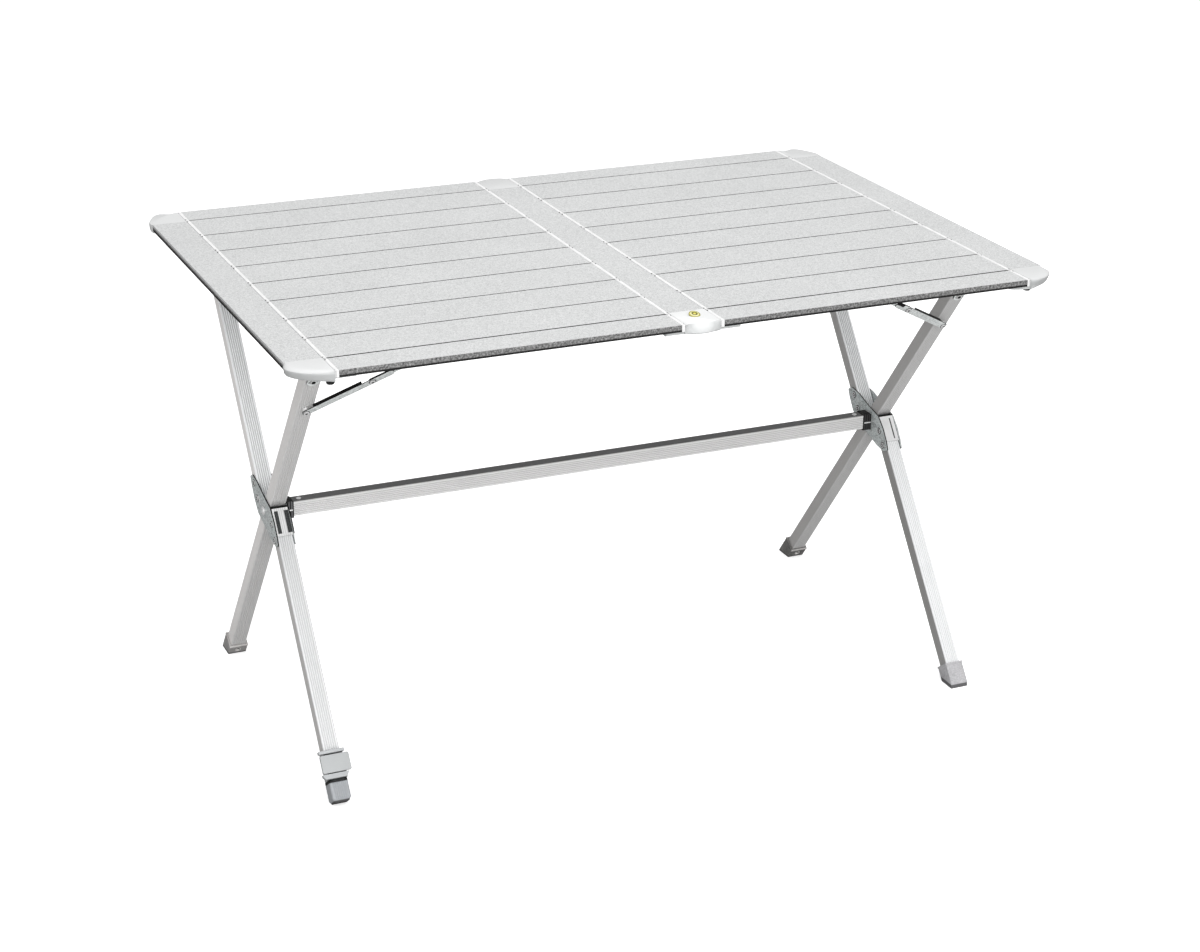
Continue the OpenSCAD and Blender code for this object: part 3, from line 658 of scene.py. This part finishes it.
# the three leg materials are lit and shaded copies of one anodised aluminium: their tones and metal differ
# as painted light and shade
LEG_LONG = tube_metal("leg_long", -1, 0.76, painted_side_tones=(1.0, 0.57), metal=0.35, flute=0.16, painted_right_light=0.92)
LEG_LOWER = tube_metal("leg_half", 1, 0.67, (0.99, 1.0, 1.01), painted_side_tones=(0.66, 0.40), metal=0.30, painted_right_light=1.26)
LEG_UPPER = tube_metal("leg_half_upper", 1, 1.0, (0.985, 1.0, 1.01), painted_side_tones=(1.0, 0.50), metal=0.05,
                       flute=0.80)
# painted shade on the face of the crossbar that looks up, under the table top
CROSSBAR = tube_metal("tube_along", None, 0.88, painted_top_shade=0.16, flute=0.42)
RAIL = tube_metal("rail_tube", None, 0.58, metal=0.40)
WHITE = cap_plastic("white_cap_plastic", 0.62, 0.46)
MID_WHITE = cap_plastic("middle_cap_plastic", 0.72, 0.50)
REAR_WHITE = plastic("rear_cap_plastic", 0.64, (0.99, 1.0, 1.0), 0.42, 0.15, wear=0.03)
STUD = plastic("stud_rubber", 0.02, rough=0.6)
LEVER = plastic("lever_plastic", 0.43, (0.97, 1.0, 1.01), 0.5, 0.3)
CLIP = plastic("clip_plastic", 0.42, rough=0.5)
FRONT_FOOT = foot_plastic("grey_plastic", 0.44, (1.0, 0.99, 1.02), 0.0066)
REAR_FOOT = foot_plastic("rear_foot_plastic", 0.36, (1.02, 0.99, 0.97), 0.0035, rear_foot_details)
SLEEVE = sleeve_plastic()
PLATE = zinc("zinc_plate", 0.62, tint=PLATE_TINT, gap=0.003, metal=0.25, details=plate_details)
STAY = zinc("stay_zinc", 0.84, details=stay_details)
HANGER = zinc("hanger_zinc", 0.92, metal=0.15, details=hanger_details)
REAR_HANGER = zinc("rear_hanger_zinc", 0.72, 0.36, gap=0.003)
REAR_RIVET = rivet_zinc("rivet_zinc_rear", 1)
CONNECTOR = connector_plastic()

MATERIALS = {
    "left_end_bar": BAR, "mid_bar": BAR, "right_end_bar": BAR, "rail_clips": CLIP,
    "front_rail": RAIL, "rear_rail": RAIL, "crossbar": CROSSBAR,
    "front_tabs": HANGER, "rear_hangers": REAR_HANGER,
    "front_rivets": rivet_zinc("rivet_zinc_front", -1), "rear_rivets": REAR_RIVET, "pivot_pins": REAR_RIVET,
    "joint_covers": cover_plastic(), "adjuster_foot": plunger_plastic(),
    "crossbar_connector_left": CONNECTOR, "crossbar_connector_right": CONNECTOR,
}
GROUPS = {"left_slat": SLAT, "right_slat": SLAT, "long_leg": LEG_LONG, "upper_leg": LEG_UPPER,
          "lower_leg": LEG_LOWER}
# the nodes that are in neither table are replaced by pieces further down
for name, obj in NODES.items():
    material = MATERIALS.get(name) or GROUPS.get(name.rsplit("_", 1)[0], WHITE)
    for slot in obj.material_slots:
        slot.material = material
    if not obj.material_slots:
        obj.data.materials.append(material)


# ---------------------------------------------------------------- mesh tools
def piece(name, bm, material, body, node):
    """Turns mesh code into an object that rides on a body and stands for a CAD node."""
    bmesh.ops.recalc_face_normals(bm, faces=bm.faces)
    mesh = bpy.data.meshes.new(name)
    bm.to_mesh(mesh)
    bm.free()
    for face in mesh.polygons:
        face.use_smooth = True
    mesh.set_sharp_from_angle(angle=math.radians(32))
    mesh.materials.append(material)
    obj = bpy.data.objects.new(name, mesh)
    scene.collection.objects.link(obj)
    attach(obj, body)
    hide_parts(node)


def curve_through(points, steps=5):
    """A smooth open curve through 2D points (Catmull-Rom)."""
    p = [Vector(q) for q in points]
    p = [2 * p[0] - p[1]] + p + [2 * p[-1] - p[-2]]
    out = []
    for k in range(1, len(p) - 2):
        for j in range(steps):
            u = j / steps
            out.append(0.5 * (2 * p[k] + (p[k + 1] - p[k - 1]) * u
                              + (2 * p[k - 1] - 5 * p[k] + 4 * p[k + 1] - p[k + 2]) * u * u
                              + (3 * p[k] - p[k - 1] - 3 * p[k + 1] + p[k + 2]) * u ** 3))
    out.append(p[-2])
    return out


def inset(curve, depth, inside, ends=0.15):
    """Moves a curve towards the point inside, less near its two ends."""
    out = []
    n = len(curve) - 1
    for k, p in enumerate(curve):
        a, b = curve[max(0, k - 1)], curve[min(n, k + 1)]
        normal = Vector((-(b - a).y, (b - a).x)).normalized()
        if normal.dot(Vector(inside) - p) < 0:
            normal = -normal
        w = ends + (1 - ends) * math.sin(math.pi * k / n) ** 0.6
        out.append(p + normal * depth * w)
    return out


def circle(x, y, z, radius, count, tilt=0.0):
    """Points of a circle; tilt raises it towards the rear, as rise over run."""
    out = []
    for k in range(count):
        a = 2 * math.pi * k / count
        out.append((x + radius * math.cos(a), y + radius * math.sin(a), z + tilt * radius * math.sin(a)))
    return out


def shell(bm, rings):
    """Closed skin over rings of equal length, from top to bottom."""
    rows = [[bm.verts.new(p) for p in ring] for ring in rings]
    for top, low in zip(rows, rows[1:]):
        for k in range(len(top)):
            j = (k + 1) % len(top)
            bm.faces.new((top[k], low[k], low[j], top[j]))
    bm.faces.new(rows[0])
    bm.faces.new(list(reversed(rows[-1])))


def block(bm, low, high, round_by, flip):
    """A small box with bevelled edges; flip is the sign of its x and of its y."""
    made = bmesh.ops.create_cube(bm, size=1.0)["verts"]
    size = Vector(high) - Vector(low)
    mid = (Vector(high) + Vector(low)) / 2
    for v in made:
        v.co = Vector((v.co.x * size.x + mid.x, v.co.y * size.y + mid.y, v.co.z * size.z + mid.z))
        v.co.x *= flip[0]
        v.co.y *= flip[1]
    edges = list({edge for v in made for edge in v.link_edges})
    bmesh.ops.bevel(bm, geom=edges, offset=round_by, segments=2, profile=0.5, affect="EDGES")


def softened(name, node, material, body, radius, angle=25):
    """A copy of a CAD node with rounded edges, where the faces turn by more than angle."""
    bm = bmesh.new()
    bm.from_mesh(NODES[node].data)
    bmesh.ops.remove_doubles(bm, verts=bm.verts, dist=1e-6)
    bmesh.ops.dissolve_limit(bm, angle_limit=math.radians(1.0), verts=bm.verts, edges=bm.edges)
    edges = [e for e in bm.edges if len(e.link_faces) == 2 and e.calc_face_angle(0.0) > math.radians(angle)]
    bmesh.ops.bevel(bm, geom=edges, offset=radius, segments=3, profile=0.5, affect="EDGES",
                    clamp_overlap=True)
    piece(name, bm, material, body, node)


# ---------------------------------------------------------------- caps of the bars
# Outlines are in millimetres: of the corner caps from the outer corner of the bar, of the middle caps from
# the middle of the edge of the top. Levels are millimetres below the top, with an inset in millimetres
# for the corner caps and a share of the way from the upper to the lower outline for the middle caps.
CAP_GAP = 0.2 * MM                       # between a cap and its bar
LEDGE_LOW, LEDGE_HIGH = TOP - 0.0144, TOP - 0.0104
TONGUE_LOW, TONGUE_HIGH = TOP - 0.0092, TOP - 0.0018

FRONT_CORNER = [(0, 0), (2.4, 7), (3, 14), (1.4, 21), (-4, 30), (-13, 39), (-24, 45.8), (-38, 52.2)]
FRONT_CORNER_LEVELS = [(0, 13.0), (1.0, 6.5), (2.8, 1.6), (3.8, 0.35), (5.0, 0.0), (6.0, 0.25), (12.0, 2.6),
                       (14.4, 4.2), (15.4, 6.5)]
REAR_CORNER = [(0, 0), (2.2, 8), (1.4, 18), (-3.6, 31), (-10.4, 45), (-16.8, 53.4), (-24.4, 57.2),
               (-32, 55.2), (-38, 51.8), (-44, 53.4)]
REAR_CORNER_LEVELS = [(0, 1.6), (0.4, 0.6), (1.2, 0.05), (4.0, 0.0), (10.0, 1.0), (12.8, 2.4), (13.8, 4.5)]

MIDDLE_HALF = 27.2                       # half the width of a middle cap
FRONT_UPPER = [(-MIDDLE_HALF, 0.8), (-20, -2.2), (-8, -4.6), (4, -4.8), (16, -2.8), (MIDDLE_HALF, 0.6)]
FRONT_LOWER = [(-MIDDLE_HALF, -1), (-20, 3), (-8, 7.4), (4, 7.6), (16, 4.4), (MIDDLE_HALF, -1)]
FRONT_MIDDLE_LEVELS = [(0, -0.16), (0.4, -0.04), (1.4, 0.06), (5.0, 0.45), (9.5, 0.86), (12.0, 1.0),
                       (13.4, 0.93), (14.2, 0.70)]
REAR_UPPER = [(-MIDDLE_HALF, -2), (-20, 2.6), (-9, 7.4), (4, 8.6), (15, 6.4), (21, 2.6), (MIDDLE_HALF, -0.6)]
REAR_LOWER = [(x, y - 3.0) for x, y in REAR_UPPER]
REAR_MIDDLE_LEVELS = [(0, 0.45), (0.5, 0.12), (1.5, 0.0), (5.0, 0.1), (10.0, 0.5), (13.5, 0.9), (14.2, 1.6)]


def in_metres(points, x, y):
    return [(x + p * MM, y + q * MM) for p, q in points]


def tongue(bm, low_x, high_x, end, flip):
    """The part of a cap that sits inside the end of its bar."""
    block(bm, (low_x, end - 0.040, TONGUE_LOW), (high_x, end + 0.002, TONGUE_HIGH), 0.6 * MM, flip)


def corner_cap(name, node, sx, sy):
    """Corner cap: a front one falls to a crease above a wall that leans in, a rear one has two humps."""
    inner, end = CAP_IN + CAP_GAP, BAR_END + CAP_GAP
    if sy < 0:
        points, reach_y, levels = FRONT_CORNER, 57, FRONT_CORNER_LEVELS
    else:
        points, reach_y, levels = REAR_CORNER, 56.6, REAR_CORNER_LEVELS
    outer = curve_through(in_metres(points, HALF_L, end) + [(inner, end + reach_y * MM)])
    rings = []
    for drop, depth in levels:
        z = TOP - drop * MM
        line = inset(outer, depth * MM, (inner + 0.004, end + 0.004))
        line[0].y, line[-1].x = end, inner
        rings.append([(sx * p.x, sy * p.y, z) for p in line] + [(sx * inner, sy * end, z)])
    bm = bmesh.new()
    shell(bm, rings)
    # the ledge under the end of the outer slat is square at the left and round at the right
    if sx < 0:
        block(bm, (inner - 0.032, 0.366, LEDGE_LOW), (inner + 0.006, 0.388, LEDGE_HIGH), 0.8 * MM, (sx, sy))
    else:
        arc = [(inner + 0.002 + 0.032 * math.cos(a), 0.386 + 0.013 * math.sin(a))
               for a in [math.pi / 2 + math.pi * k / 14 for k in range(15)]]
        ring = arc + [(inner + 0.008, 0.373), (inner + 0.008, 0.399)]
        shell(bm, [[(sx * x, sy * y, z) for x, y in ring] for z in (LEDGE_HIGH, LEDGE_LOW)])
    tongue(bm, inner + 0.0016, HALF_L - 0.0018, end, (sx, sy))
    piece(name, bm, WHITE if sy < 0 else REAR_WHITE, "table_top", node)


def middle_cap(name, node, sy):
    """Middle cap: flat top with a bowed edge, and below it a wall with a bowed lower edge."""
    half, end = MIDDLE_HALF * MM, BAR_END + CAP_GAP
    if sy < 0:
        upper, lower, levels = FRONT_UPPER, FRONT_LOWER, FRONT_MIDDLE_LEVELS
    else:
        upper, lower, levels = REAR_UPPER, REAR_LOWER, REAR_MIDDLE_LEVELS
    a, b = (curve_through(in_metres(points, 0.0, HALF_D)) for points in (upper, lower))
    rings = []
    for drop, share in levels:
        z = TOP - drop * MM
        line = [p + (q - p) * share for p, q in zip(a, b)]
        rings.append([(p.x, sy * p.y, z) for p in line] + [(half, sy * end, z), (-half, sy * end, z)])
    bm = bmesh.new()
    shell(bm, rings)
    block(bm, (-half - 0.028, 0.374, LEDGE_LOW), (half + 0.032, 0.396, LEDGE_HIGH), 0.8 * MM, (1, sy))
    tongue(bm, -half + 0.0014, half - 0.0014, end, (1, sy))
    piece(name, bm, MID_WHITE if sy < 0 else REAR_WHITE, "table_top", node)


corner_cap("cap_front_left", "left_front_cap", -1, -1)
corner_cap("cap_front_right", "right_front_cap", 1, -1)
corner_cap("cap_rear_left", "left_rear_cap", -1, 1)
corner_cap("cap_rear_right", "right_rear_cap", 1, 1)
middle_cap("cap_front_middle", "mid_front_cap", -1)
middle_cap("cap_rear_middle", "mid_rear_cap", 1)


# ---------------------------------------------------------------- studs and level
def studs():
    """Rubber studs under the corner caps: flat domes."""
    profile = [(4.8, 0.6855), (5.7, 0.6850), (5.7, 0.6808), (4.9, 0.6796), (2.6, 0.6790)]
    bm = bmesh.new()
    for sx, y in ((-1, 0.3905), (1, 0.3850)):
        for sy in (-1, 1):
            shell(bm, [circle(sx * (CAP_IN + 0.0042), sy * y, z, r * MM, 24) for r, z in profile])
    piece("studs", bm, STUD, "table_top", "cap_studs")


def level():
    """Level in the middle cap: a shallow dome tilted a little to the front, on an upright rim."""
    tilt = math.tan(math.radians(14))
    dome = [(1.4, 0.70260), (4.6, 0.70250), (7.0, 0.70225), (8.0, 0.70195), (LEVEL_R / MM, 0.70150)]
    rim = [(7.5, 0.6990), (7.5, 0.6936)]
    bm = bmesh.new()
    shell(bm, [circle(LEVEL.x, LEVEL.y, z, r * MM, 40, tilt) for r, z in dome]
          + [circle(LEVEL.x, LEVEL.y, z, r * MM, 40) for r, z in rim])
    piece("level_lens", bm, level_glass(), "table_top", "level_vial")


studs()
level()

# ---------------------------------------------------------------- fittings with rounded edges
softened("foot_front_right", "front_foot_right", FRONT_FOOT, "rear_frame", 1.1 * MM)
softened("foot_rear_left", "rear_foot_left", REAR_FOOT, "front_frame", 0.9 * MM)
softened("foot_rear_right", "rear_foot_right", REAR_FOOT, "front_frame", 0.9 * MM)
softened("foot_sleeve", "adjuster_sleeve", SLEEVE, "rear_frame", 0.6 * MM)
softened("foot_lever", "adjuster_lever", LEVER, "lever", 0.8 * MM)
softened("joint_plates_out", "outer_plates", PLATE, "rear_frame", 0.85 * MM, 40)
softened("joint_plates_in", "inner_plates", PLATE, "rear_frame", 0.85 * MM, 40)
softened("hangers_front", "front_hangers", HANGER, "front_frame", 0.8 * MM, 40)
softened("stays", "front_stays", STAY, "front_frame", 0.55 * MM, 40)
softened("links", "front_links", STAY, "front_frame", 0.6 * MM, 40)

# ---------------------------------------------------------------- floor, backdrop and lights
bpy.ops.mesh.primitive_plane_add(size=60, location=(0, 0, 0))
floor = bpy.context.object
floor.name = "floor"
paint = Tree("floor_paint")
seen = paint.nt.nodes.new("ShaderNodeLightPath").outputs["Is Camera Ray"]
paint.finish(paint.mix(seen, gray(0.42), gray(0.96)), 0.9, matt=False)
paint.bsdf.inputs["Specular IOR Level"].default_value = 0.0
paint.bsdf.inputs["Emission Color"].default_value = (1, 1, 1, 1)
paint.link(paint.product(seen, 0.52), paint.bsdf.inputs["Emission Strength"])
floor.data.materials.append(paint.mat)

world = bpy.data.worlds.new("world")
scene.world = world
world.use_nodes = True
tree = world.node_tree
backdrop = tree.nodes["Background"]
backdrop.inputs["Color"].default_value = (1, 1, 1, 1)
camera_ray = tree.nodes.new("ShaderNodeLightPath").outputs["Is Camera Ray"]
strength = tree.nodes.new("ShaderNodeMix")
strength.inputs[2].default_value = 0.50   # for the light that it gives
strength.inputs[3].default_value = 1.0    # as the white backdrop
tree.links.new(camera_ray, strength.inputs[0])
tree.links.new(strength.outputs[0], backdrop.inputs["Strength"])
scene.view_settings.view_transform = "Standard"


def area_light(name, location, target, size, power):
    data = bpy.data.lights.new(name, "AREA")
    data.shape = "RECTANGLE"
    data.size, data.size_y = size
    data.energy = power
    obj = bpy.data.objects.new(name, data)
    scene.collection.objects.link(obj)
    obj.location = location
    obj.rotation_euler = (Vector(target) - Vector(location)).to_track_quat("-Z", "Y").to_euler()


area_light("key", (-0.9, -4.0, 3.4), (0, 0, 0.4), (5.6, 5.2), 215)
area_light("top", (0.4, 0.6, 3.6), (0, 0, 0.6), (3.2, 3.2), 60)
area_light("low", (-0.9, -4.4, 0.9), (0, 0, 0.4), (4.0, 1.5), 46)
